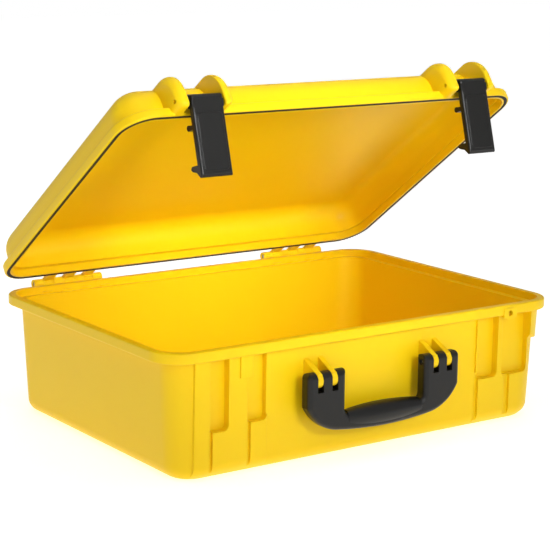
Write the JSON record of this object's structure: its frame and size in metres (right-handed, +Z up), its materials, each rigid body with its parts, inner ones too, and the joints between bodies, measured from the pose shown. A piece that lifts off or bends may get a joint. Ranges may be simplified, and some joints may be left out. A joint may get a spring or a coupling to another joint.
{
  "type": "toolbox",
  "caption": "Deep hard-shell toolbox case with a hinged domed lid, a perimeter seal, draw latches and a folding front handle, shown part open.",
  "frame": {"origin": "centre of the base's underside, on the floor", "axes": "+X to the right of the front, +Y from the latches to the hinges, +Z up"},
  "size_m": [0.5, 0.3987, 0.3863],
  "materials": {
    "yellow_shell": "moulded polypropylene, fine texture, satin",
    "black_plastic": "moulded black nylon, satin with polished edges",
    "black_seal": "dull rubber",
    "steel": "turned stainless steel"
  },
  "bodies": {
    "base": {"base_shell": "yellow_shell", "hinge_pin_left": "steel", "hinge_pin_right": "steel", "handle_pin_left": "steel", "handle_pin_right": "steel"},
    "lid": {"lid_shell": "yellow_shell", "lid_seal": "black_seal", "latch_pin_left": "steel", "latch_pin_right": "steel"},
    "left_latch": {"latch_left": "black_plastic"},
    "right_latch": {"latch_right": "black_plastic"},
    "carry_handle": {"handle": "black_plastic"}
  },
  "joints": [
    {"name": "lid_hinge", "type": "hinge", "parent": "base", "child": "lid", "pos_m": [0, 0.1937, 0.1315], "axis": [-1, 0, 0], "range_deg": [-35.7, 59.3]},
    {"name": "latch_left_pivot", "type": "hinge", "parent": "lid", "child": "left_latch", "pos_m": [-0.169, -0.1127, 0.36435], "axis": [-1, 0, 0], "range_deg": [-36, 22]},
    {"name": "latch_right_pivot", "type": "hinge", "parent": "lid", "child": "right_latch", "pos_m": [0.169, -0.1127, 0.36435], "axis": [-1, 0, 0], "range_deg": [-36, 22]},
    {"name": "handle_pivot", "type": "hinge", "parent": "base", "child": "carry_handle", "pos_m": [0, -0.188, 0.089], "axis": [-1, 0, 0], "range_deg": [0, 100]}
  ],
  "couplings": [
    {"joint": "latch_left_pivot", "follows": "lid_hinge", "ratio": -0.6},
    {"joint": "latch_right_pivot", "follows": "lid_hinge", "ratio": -0.6}
  ]
}
